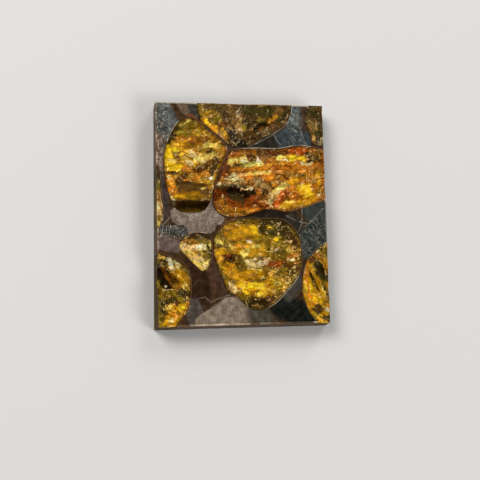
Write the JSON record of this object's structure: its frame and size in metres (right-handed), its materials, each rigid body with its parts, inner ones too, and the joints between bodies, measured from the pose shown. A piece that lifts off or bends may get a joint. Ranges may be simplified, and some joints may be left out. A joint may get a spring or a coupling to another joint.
{
  "type": "pallasite meteorite slice",
  "caption": "Small rectangular polished slice of stony-iron meteorite: clear yellow to amber olivine crystals set in a web of grey nickel iron.",
  "frame": {"origin": "middle of the back face's bounding rectangle, on the surface that the slice lies on", "axes": "+Z out of the polished face, +Y along the slice's length towards the end with the wide brown crystal, +X across it"},
  "size_m": [0.0176, 0.0228, 0.0024],
  "materials": {
    "nickel_iron": "polished and lightly etched, with fine scratches",
    "olivine_yellow": "clear and cracked, broken faces",
    "olivine_amber": "clear and cracked, with ledges along its length",
    "olivine_brown": "cloudy, dark, broken faces",
    "olivine_pale": "pale, clear, broken faces"
  },
  "bodies": {
    "root": {"metal_matrix": "nickel_iron", "olivine_upper_left": "olivine_yellow", "olivine_top": "olivine_brown", "olivine_top_right": "olivine_brown", "olivine_band": "olivine_amber", "olivine_left_edge": "olivine_pale", "olivine_small": "olivine_pale", "olivine_round": "olivine_yellow", "olivine_lower_left": "olivine_yellow", "olivine_lower_right": "olivine_yellow"}
  },
  "joints": []
}
